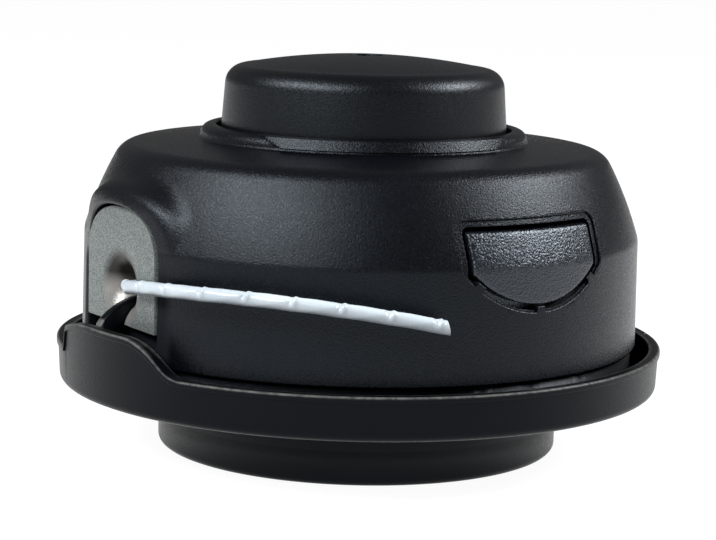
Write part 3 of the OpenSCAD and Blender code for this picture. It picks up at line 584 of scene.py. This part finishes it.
# ---------------------------------------------------------------- base with rim, guards, ring and ribs
CROWN_Y = GUARD_FLAT / 2
FLANK_Y = CROWN_Y + GUARD_CROWN_R * math.sin(rad(GUARD_SLOPE))
FLANK_DROP = (GUARD_CROWN_R + GUARD_FOOT_R) * (1 - math.cos(rad(GUARD_SLOPE)))
FLANK_RUN = (GUARD_Z - RIM_Z - FLANK_DROP) / math.tan(rad(GUARD_SLOPE))
FOOT_Y = FLANK_Y + FLANK_RUN + GUARD_FOOT_R * math.sin(rad(GUARD_SLOPE))


def back_height(y):
    """Height of the guard on the side away from the line, where it ends steeply with rounded edges."""
    top = GUARD_Z - GUARD_BACK_R + np.sqrt(GUARD_BACK_R ** 2 - np.minimum(y, GUARD_END) ** 2)
    fall = smooth((y - GUARD_END + 0.5) / (GUARD_END_RUN + 1.0))
    return top + (RIM_Z - top) * fall


def rim_height(x, y):
    """Height of the top of the rim at a place, with the guards."""
    side, y = y * np.sign(x), np.abs(y)
    crown = GUARD_Z - GUARD_CROWN_R + np.sqrt(np.maximum(GUARD_CROWN_R ** 2 - (y - CROWN_Y) ** 2, 0))
    flank = (GUARD_Z - GUARD_CROWN_R * (1 - math.cos(rad(GUARD_SLOPE)))
             - (y - FLANK_Y) * math.tan(rad(GUARD_SLOPE)))
    foot = RIM_Z + GUARD_FOOT_R - np.sqrt(np.maximum(GUARD_FOOT_R ** 2 - (FOOT_Y - y) ** 2, 0))
    h = np.where(y < CROWN_Y, GUARD_Z, crown)
    h = np.where(y > FLANK_Y, flank, h)
    h = np.where(y > FLANK_Y + FLANK_RUN, foot, h)
    h = np.where(y > FOOT_Y, RIM_Z, h)
    return np.where(side < 0, back_height(y), h)


def make_rim():
    parts = [np.arange(0, 360, 1.5)]
    for middle in (0, 180):
        parts.append(middle + np.arange(-27, 27.01, 0.6))
        parts.append(middle + np.arange(-15.5, -11.5, 0.15))
    angles = np.sort(np.concatenate(parts) % 360)
    angles = angles[np.concatenate([[True], np.diff(angles) > 0.1])]
    edge_in, edge_out, under = 0.35, 0.4, 0.18
    side_r, foot_r = RIM_R - LIP_OUT, RIM_R - LIP_OUT - RIM_DRAFT
    # Each point: radius, fixed height or None, and height against the top of the rim
    line = [(RIM_IN_R, FLOOR_Z, 0)]
    line += [(p[0], None, p[1]) for p in arc([RIM_IN_R + edge_in, -edge_in], edge_in, 180, 90, 4)]
    line += [((RIM_IN_R + RIM_R) / 2, None, 0)]
    line += [(p[0], None, p[1]) for p in arc([RIM_R - edge_out, -edge_out], edge_out, 90, 0, 5)]
    line += [(p[0], None, p[1]) for p in arc([RIM_R - under, -LIP_H + under], under, 0, -90, 3)]
    line += [(side_r, None, -LIP_H - 0.02), (side_r - 0.03, None, -LIP_H - 0.5)]
    line += [(foot_r, RING_H + RIM_FILLET + 0.01, 0)]
    line += [(p[0], p[1], 0) for p in arc([foot_r - RIM_FILLET, RING_H + RIM_FILLET], RIM_FILLET, 0, -90, 6)]
    rows = []
    for r, z, above in line:
        a = np.radians(angles)
        x, y = r * np.cos(a), r * np.sin(a)
        zz = np.full(len(a), z) if z is not None else rim_height(x, y) + above
        rows.append(np.stack([x, y, zz], axis=1))
    band_r = RING_R - RING_STEP
    root = 0.5
    ring = [np.array(p) for p in arc([RING_R + root, RING_H - root], root, 90, 180, 4)]
    ring += [np.array([RING_R, RING_BAND_H + 0.08]), np.array([RING_R - 0.08, RING_BAND_H]),
             np.array([band_r, RING_BAND_H])]
    ring += arc([band_r - RING_FILLET, RING_FILLET], RING_FILLET, 0, -90, 6)
    bore_r, bevel = RING_R - RING_T, 0.3
    ring += arc([bore_r + bevel, bevel], bevel, -90, -180, 3)
    ring += [np.array([bore_r, RING_H])]
    rows += list(lathe_points(ring, angles))
    grid = np.array(rows)
    return mesh_piece("rim", grid.reshape(-1, 3), grid_faces(grid.shape[0], grid.shape[1], False, True), 34)


def make_nose(turn):
    """Curved rib under a line exit, with rounded edges."""
    plate_x, end_x = 45.64, FACE_X + NOSE_OUT
    start_x, top_x = 44.14, 45.79
    power = 2 / NOSE_POWER
    bow = [(top_x + (end_x - top_x) * max(math.cos(rad(a)), 0) ** power, GUARD_Z + NOSE_H * math.sin(rad(a)) ** power)
           for a in np.linspace(90, 0, 25)]
    side = [(start_x, FLOOR_Z - 0.5), (start_x, GUARD_Z + NOSE_H)] + bow + [(end_x, FLOOR_Z - 0.5)]
    side = np.array(side)
    n = len(side)
    middle = side.mean(0)
    loops = []
    half, e = NOSE_T / 2, 0.4
    profile = [(-half, e)] + [(-half + e * (1 - math.cos(rad(a))), e * (1 - math.sin(rad(a)))) for a in (30, 60, 90)]
    profile += [(-y, g) for y, g in profile[::-1]]
    tangent = np.gradient(side, axis=0)
    normal = np.stack([-tangent[:, 1], tangent[:, 0]], axis=1)
    normal /= np.maximum(np.linalg.norm(normal, axis=1, keepdims=True), 1e-9)
    for y, g in profile:
        shape = side.copy()
        shape[1:n - 1] = side[1:n - 1] - normal[1:n - 1] * g
        loops.append(np.stack([shape[:, 0], np.full(n, y), shape[:, 1]], axis=1))
    ob = loft("nose", loops, centre_first=[middle[0], -half, middle[1] - 2],
              centre_last=[middle[0], half, middle[1] - 2], sharp=34)
    return turned(ob, turn)


def make_base():
    def keep(p):
        r = np.hypot(p[:, 0], p[:, 1])
        outside = r.min() > RIM_IN_R - 0.02
        ring_side = r.min() > RING_R - RING_FILLET - 0.4 and p[:, 2].max() < RING_H + 0.02
        ring_foot = r.min() > RING_R - RING_T - 0.02 and p[:, 2].max() < 0.02
        ring_bore = abs(r.max() - (RING_R - RING_T)) < 0.05 and abs(r.min() - (RING_R - RING_T)) < 0.05 \
            and p[:, 2].min() < 0.1
        nose = np.abs(p[:, 1]).max() < NOSE_T / 2 + 0.01 and np.abs(p[:, 0]).min() > 44
        return not (outside or ring_side or ring_foot or ring_bore or nose)

    inner = cad_copy("housing", "base_inner", keep)
    ob = make_rim()
    joined(ob, [inner, make_nose(0), make_nose(180)])
    ob.name = ob.data.name = "base"
    shade(ob, 34)
    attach(ob, "head")
    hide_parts("housing")
    return ob


base = make_base()


# ---------------------------------------------------------------- knob
def make_knob():
    top = COLLAR_Z + KNOB_PROUD
    edge_z = top - DOME_RISE
    edge_r = KNOB_R - (edge_z - COLLAR_Z) * math.tan(rad(KNOB_DRAFT)) - KNOB_FILLET
    dome = (edge_r ** 2 + DOME_RISE ** 2) / (2 * DOME_RISE)
    foot_z, wall = 46.7, 2.3
    line = [np.array([KNOB_R - wall, foot_z]), np.array([KNOB_R - 0.3, foot_z]), np.array([KNOB_R, foot_z + 0.3]),
            np.array([KNOB_R, COLLAR_Z - 0.6])]
    c = np.array([edge_r, edge_z - KNOB_FILLET])
    side = arc(c, KNOB_FILLET, KNOB_DRAFT, 90, 14)
    line += [np.array([KNOB_R, COLLAR_Z]) + (side[0] - [KNOB_R, COLLAR_Z]) * t for t in (0.05, 0.5)] + side
    lip = 0.08
    for r in np.linspace(edge_r, DIMPLE_R + lip, 12)[1:]:
        line.append(np.array([r, top - dome + math.sqrt(dome ** 2 - r ** 2)]))
    bowl_z = top - DIMPLE_D
    line += [np.array([DIMPLE_R + 0.02, line[-1][1] - 0.02]), np.array([DIMPLE_R, line[-1][1] - 0.08])]
    line += arc([DIMPLE_R - 0.3, bowl_z + 0.3], 0.3, 0, -90, 3) + [np.array([0, bowl_z - 0.02])]
    inner = [np.array([0, top - 3.2]), np.array([edge_r, edge_z - wall]), np.array([KNOB_R - wall, edge_z - KNOB_FILLET])]
    ob = lathe("knob", line + inner, 1.5, 34)
    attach(ob, "reel")
    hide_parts("bump_knob")
    return ob


knob = make_knob()


# ---------------------------------------------------------------- eyelets
def make_eyelet(name, node):
    ob = cad_copy(node, name)
    bevel = ob.modifiers.new("bevel", "BEVEL")
    bevel.width, bevel.segments, bevel.limit_method, bevel.angle_limit = 0.35 * MM, 3, "ANGLE", rad(40)
    bevel.use_clamp_overlap = True
    apply_modifiers(ob)
    shade(ob, 30)
    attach(ob, "head")
    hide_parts(node)
    return ob


eyelets = [make_eyelet("line_guide_left", "eyelet_left"), make_eyelet("line_guide_right", "eyelet_right")]


# ---------------------------------------------------------------- spring
def make_spring():
    """The spring as in the part."""
    ob = cad_copy("spring", "coil_spring")
    shade(ob, 40)
    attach(ob, "head")
    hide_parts("spring")
    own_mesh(ob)
    return ob


spring = make_spring()


# ---------------------------------------------------------------- materials
def material(name, build):
    mat = bpy.data.materials.new(name)
    mat.use_nodes = True
    tree = mat.node_tree
    tree.nodes.clear()
    out = tree.nodes.new("ShaderNodeOutputMaterial")
    shader = tree.nodes.new("ShaderNodeBsdfPrincipled")
    tree.links.new(shader.outputs[0], out.inputs[0])
    build(tree, shader)
    return mat


def node(tree, kind, **values):
    n = tree.nodes.new(kind)
    for key, value in values.items():
        if key in n.inputs:
            n.inputs[key].default_value = value
        else:
            setattr(n, key, value)
    return n


def noise(tree, scale, detail=2.0, rough=0.5, vector=None):
    n = tree.nodes.new("ShaderNodeTexNoise")
    n.inputs["Scale"].default_value = scale
    n.inputs["Detail"].default_value = detail
    n.inputs["Roughness"].default_value = rough
    if vector is None:
        vector = tree.nodes.new("ShaderNodeTexCoord").outputs["Object"]
    tree.links.new(vector, n.inputs["Vector"])
    return n.outputs["Fac"]


def ramp(tree, fac, low, high, a, b):
    """Colour from a to b while the factor goes from low to high."""
    n = tree.nodes.new("ShaderNodeValToRGB")
    n.color_ramp.elements[0].position, n.color_ramp.elements[1].position = low, high
    n.color_ramp.elements[0].color = (*a, 1)
    n.color_ramp.elements[1].color = (*b, 1)
    tree.links.new(fac, n.inputs["Fac"])
    return n.outputs["Color"]


def spread(tree, fac, low, high, a, b):
    n = tree.nodes.new("ShaderNodeMapRange")
    for key, value in (("From Min", low), ("From Max", high), ("To Min", a), ("To Max", b)):
        n.inputs[key].default_value = value
    tree.links.new(fac, n.inputs["Value"])
    return n.outputs["Result"]


def bump(tree, shader, height, distance, strength=1.0, after=None):
    n = tree.nodes.new("ShaderNodeBump")
    n.inputs["Distance"].default_value = distance
    n.inputs["Strength"].default_value = strength
    tree.links.new(height, n.inputs["Height"])
    if after is not None:
        tree.links.new(after, n.inputs["Normal"])
    tree.links.new(n.outputs["Normal"], shader.inputs["Normal"])
    return n.outputs["Normal"]


def times(tree, a, b):
    n = tree.nodes.new("ShaderNodeMath")
    n.operation = "MULTIPLY"
    tree.links.new(a, n.inputs[0])
    tree.links.new(b, n.inputs[1])
    return n.outputs[0]


def edge_wear_and_glint(tree, low, high, radius):
    """From 0 on flat and hollow places to 1 on upper edges beyond a radius, broken up by a noise; the lighter colour
    laid there is partly wear and partly a painted highlight.
    """
    place = tree.nodes.new("ShaderNodeNewGeometry")
    edge = spread(tree, place.outputs["Pointiness"], low, high, 0, 1)
    broken = spread(tree, noise(tree, 1100, 3), 0.30, 0.62, 0.35, 1)
    facing = tree.nodes.new("ShaderNodeSeparateXYZ")
    tree.links.new(place.outputs["Normal"], facing.inputs[0])
    upper = spread(tree, facing.outputs["Z"], 0, 0.4, 0, 1)
    outer = from_axis(tree, (1, 1, 0), (0, 0, 0), radius - 0.3, radius, 0, 1)
    return times(tree, times(tree, edge, broken), times(tree, upper, outer))


def blend_colour(tree, fac, a, b):
    """Colour output a where the factor is 0, colour output or plain colour b where it is 1."""
    n = tree.nodes.new("ShaderNodeMix")
    n.data_type = "RGBA"
    tree.links.new(fac, n.inputs["Factor"])
    tree.links.new(a, n.inputs[6])
    if isinstance(b, tuple):
        n.inputs[7].default_value = (*b, 1)
    else:
        tree.links.new(b, n.inputs[7])
    return n.outputs[2]


def plastic(base, lift, rough, grain, depth, cell=2600.0, specular=0.22, wear_and_glint=(0.02, 0.02, 0.02),
            edges=(0.52, 0.58, 0.0)):
    """Grained polyamide: base colour, its lighter shade, roughness, grain and the colour of edges, which is partly
    wear and partly a painted highlight.
    """
    def build(tree, shader):
        shader.inputs["Specular IOR Level"].default_value = specular
        shader.inputs["Specular Tint"].default_value = (0.78, 0.89, 1.0, 1)
        plain = ramp(tree, noise(tree, 45, 3), 0.3, 0.7, base, lift)
        # Upward-facing edges take a lighter colour: partly wear, partly a painted highlight
        tree.links.new(blend_colour(tree, edge_wear_and_glint(tree, *edges), plain, wear_and_glint), shader.inputs["Base Color"])
        fine = noise(tree, cell, 2, 0.6)
        tree.links.new(spread(tree, fine, 0.3, 0.7, rough - grain, rough + grain), shader.inputs["Roughness"])
        bump(tree, shader, fine, depth, 1.0)
    return build


def dull_below(build, z, half_width=None):
    """The same surface, but dull below the height z, and where half_width is given only near the X axis."""
    def both(tree, shader):
        build(tree, shader)
        height = tree.nodes.new("ShaderNodeSeparateXYZ")
        tree.links.new(tree.nodes.new("ShaderNodeTexCoord").outputs["Object"], height.inputs[0])
        low = spread(tree, height.outputs["Z"], (z - 4) * MM, z * MM, 0.85, 0)
        if half_width is not None:
            low = times(tree, low, from_axis(tree, (0, 1, 0), (0, 0, 0), half_width - 3, half_width, 1, 0))
        n = tree.nodes.new("ShaderNodeMath")
        n.operation = "MAXIMUM"
        tree.links.new(shader.inputs["Roughness"].links[0].from_socket, n.inputs[0])
        tree.links.new(low, n.inputs[1])
        tree.links.new(n.outputs[0], shader.inputs["Roughness"])
    return both


def from_axis(tree, across, middle, near, far, a, b):
    """Goes from a to b while the distance from an axis or plane goes from near to far, in millimetres."""
    shift = tree.nodes.new("ShaderNodeVectorMath")
    shift.operation = "MULTIPLY_ADD"
    shift.inputs[1].default_value = across
    shift.inputs[2].default_value = [-v * MM for v in middle]
    tree.links.new(tree.nodes.new("ShaderNodeTexCoord").outputs["Object"], shift.inputs[0])
    length = tree.nodes.new("ShaderNodeVectorMath")
    length.operation = "LENGTH"
    tree.links.new(shift.outputs[0], length.inputs[0])
    return spread(tree, length.outputs["Value"], near * MM, far * MM, a, b)


def sintered(tree, shader):
    fine = noise(tree, 3800, 2, 0.7)
    shader.inputs["Specular IOR Level"].default_value = 0.2
    plain = ramp(tree, fine, 0.38, 0.68, (0.11, 0.128, 0.126), (0.34, 0.375, 0.366))
    # The line has rubbed the flare smooth; its colour is painted light, a painted highlight below and painted shade
    # above
    flare = from_axis(tree, (0, 1, 1), (0, 0, HOLE_Z), 5.4, 7.2, 1, 0)
    height = tree.nodes.new("ShaderNodeSeparateXYZ")
    tree.links.new(tree.nodes.new("ShaderNodeTexCoord").outputs["Object"], height.inputs[0])
    above = spread(tree, height.outputs["Z"], (HOLE_Z - 1.0) * MM, (HOLE_Z + 2.2) * MM, 0, 1)
    flare_painted_light = ramp(tree, above, 0, 1, (0.34, 0.335, 0.32), (0.030, 0.028, 0.026))
    tree.links.new(blend_colour(tree, flare, plain, flare_painted_light), shader.inputs["Base Color"])
    shader.inputs["Metallic"].default_value = 0.45
    rough = tree.nodes.new("ShaderNodeMix")
    tree.links.new(flare, rough.inputs["Factor"])
    tree.links.new(spread(tree, noise(tree, 2400, 2), 0.3, 0.7, 0.30, 0.54), rough.inputs[2])
    rough.inputs[3].default_value = 0.27
    tree.links.new(rough.outputs[0], shader.inputs["Roughness"])
    bump(tree, shader, fine, 0.00005, 0.9)


def nylon(tree, shader):
    cloud = noise(tree, 120, 2)
    tree.links.new(ramp(tree, cloud, 0.35, 0.7, (0.58, 0.66, 0.73), (0.66, 0.73, 0.78)),
                   shader.inputs["Base Color"])
    tree.links.new(spread(tree, noise(tree, 900, 2), 0.3, 0.7, 0.20, 0.32), shader.inputs["Roughness"])
    shader.inputs["Subsurface Weight"].default_value = 0.12
    shader.inputs["Subsurface Radius"].default_value = (0.8, 0.9, 1.0)
    shader.inputs["Subsurface Scale"].default_value = 0.0012
    bump(tree, shader, noise(tree, 700, 1), 0.00003, 0.6)


def steel(tone, rough):
    def build(tree, shader):
        tree.links.new(ramp(tree, noise(tree, 500, 3), 0.3, 0.7, (tone * 0.8,) * 3, (tone, tone, tone * 1.02)),
                       shader.inputs["Base Color"])
        shader.inputs["Metallic"].default_value = 1.0
        tree.links.new(spread(tree, noise(tree, 1500, 2), 0.3, 0.7, rough - 0.08, rough + 0.08),
                       shader.inputs["Roughness"])
        bump(tree, shader, noise(tree, 2500, 1), 0.00001, 0.5)
    return build


# The third colour given to each plastic goes on its upward-facing edges, partly wear and partly a painted highlight
cover_face = plastic((0.0012, 0.0016, 0.0030), (0.0020, 0.0026, 0.0044), 0.30, 0.09, 0.00009, 3600, 0.28,
                     (0.045, 0.048, 0.050), (0.52, 0.58, COLLAR_R + 7))
cover_mat = material("cover_plastic", dull_below(cover_face, KNEE_Z, 17.5))
latch_face = plastic((0.003, 0.004, 0.007), (0.006, 0.007, 0.011), 0.25, 0.09, 0.00014, 2700, 0.80, (0.02, 0.02, 0.02))
latch_mat = material("latch_plastic", dull_below(latch_face, TAB_Z - 1))
# On the base the edge colour is bright and kept to the rim: mostly a painted highlight along the rim's top edge
base_mat = material("base_plastic", plastic((0.0012, 0.0015, 0.0024), (0.0020, 0.0024, 0.0034), 0.34, 0.06, 0.00004,
                                            2600, 0.13, (0.20, 0.20, 0.195), (0.510, 0.535, RIM_IN_R - 0.3)))
knob_mat = material("knob_plastic", plastic((0.0012, 0.0015, 0.0022), (0.0020, 0.0024, 0.0034), 0.36, 0.08, 0.00006, 3000, 0.34,
                                            (0.02, 0.02, 0.02)))
spool_mat = material("spool_plastic", plastic((0.006, 0.006, 0.007), (0.009, 0.009, 0.010), 0.45, 0.06, 0.00003))
guide_mat = material("sintered_metal", sintered)
nylon_mat = material("nylon", nylon)
insert_mat = material("insert_steel", steel(0.55, 0.32))
spring_mat = material("spring_steel", steel(0.50, 0.26))


def paint(ob, mat):
    ob.data.materials.clear()
    ob.data.materials.append(mat)


paint(cover, cover_mat)
paint(base, base_mat)
paint(knob, knob_mat)
for ob in latches:
    paint(ob, latch_mat)
for ob in eyelets:
    paint(ob, guide_mat)
for ob in tails:
    paint(ob, nylon_mat)
paint(spring, spring_mat)
for name, mat in (("arbor_nut", insert_mat), ("spring_seat", insert_mat), ("spool", spool_mat),
("line_winding_lower", nylon_mat), ("line_winding_upper", nylon_mat)):
    paint(bpy.data.objects[name], mat)


# ---------------------------------------------------------------- floor, background and lights
def white_for_camera(tree, shader_out, out):
    """Camera, glossy and transmission rays see plain white where the shadow isn't."""
    path = tree.nodes.new("ShaderNodeLightPath")
    a = tree.nodes.new("ShaderNodeMath")
    a.operation = "MAXIMUM"
    tree.links.new(path.outputs["Is Camera Ray"], a.inputs[0])
    tree.links.new(path.outputs["Is Glossy Ray"], a.inputs[1])
    b = tree.nodes.new("ShaderNodeMath")
    b.operation = "MAXIMUM"
    tree.links.new(a.outputs[0], b.inputs[0])
    tree.links.new(path.outputs["Is Transmission Ray"], b.inputs[1])
    return b.outputs[0]


def make_floor():
    me = bpy.data.meshes.new("floor")
    s = 3.0
    me.from_pydata([(-s, -s, 0), (s, -s, 0), (s, s, 0), (-s, s, 0)], [], [(0, 1, 2, 3)])
    ob = bpy.data.objects.new("floor", me)
    ob.location.z = -0.0002
    scene.collection.objects.link(ob)
    mat = bpy.data.materials.new("floor")
    mat.use_nodes = True
    tree = mat.node_tree
    shader = tree.nodes["Principled BSDF"]
    shader.inputs["Base Color"].default_value = (0.20, 0.20, 0.20, 1)
    shader.inputs["Roughness"].default_value = 0.9
    shader.inputs["Specular IOR Level"].default_value = 0.1
    glow = tree.nodes.new("ShaderNodeEmission")
    glow.inputs["Color"].default_value = (1, 1, 1, 1)
    add = tree.nodes.new("ShaderNodeAddShader")
    seen = white_for_camera(tree, None, None)
    scale = tree.nodes.new("ShaderNodeMath")
    scale.operation = "MULTIPLY"
    scale.inputs[1].default_value = 0.95
    tree.links.new(seen, scale.inputs[0])
    tree.links.new(scale.outputs[0], glow.inputs["Strength"])
    tree.links.new(shader.outputs[0], add.inputs[0])
    tree.links.new(glow.outputs[0], add.inputs[1])
    tree.links.new(add.outputs[0], tree.nodes["Material Output"].inputs["Surface"])
    me.materials.append(mat)


def make_world():
    world = bpy.data.worlds.new("studio")
    world.use_nodes = True
    tree = world.node_tree
    tree.nodes.clear()
    out = tree.nodes.new("ShaderNodeOutputWorld")
    plain = tree.nodes.new("ShaderNodeBackground")
    plain.inputs["Color"].default_value = (1, 1, 1, 1)
    plain.inputs["Strength"].default_value = 0.15
    tree.links.new(plain.outputs[0], out.inputs[0])
    scene.world = world


def softbox(name, side, elevation, distance, size, energy):
    """Area light at an angle to the right of the camera and above the floor, aimed at the object."""
    data = bpy.data.lights.new(name, "AREA")
    data.shape = "RECTANGLE"
    data.size, data.size_y = size
    data.energy = energy
    ob = bpy.data.objects.new(name, data)
    scene.collection.objects.link(ob)
    a, e = rad(CAM_AZIMUTH + side), rad(elevation)
    aim = Vector((0, 0, CAM_TARGET_Z * MM))
    away = Vector((math.sin(a) * math.cos(e), -math.cos(a) * math.cos(e), math.sin(e)))
    ob.location = aim + away * distance
    ob.rotation_euler = (-away).to_track_quat("-Z", "Y").to_euler()


make_floor()
make_world()
softbox("left_box", -52, 38, 0.55, (0.54, 0.16), 3.8)
softbox("right_box", 90, 37, 0.55, (0.30, 0.16), 3.2)

scene.view_settings.view_transform = "Standard"
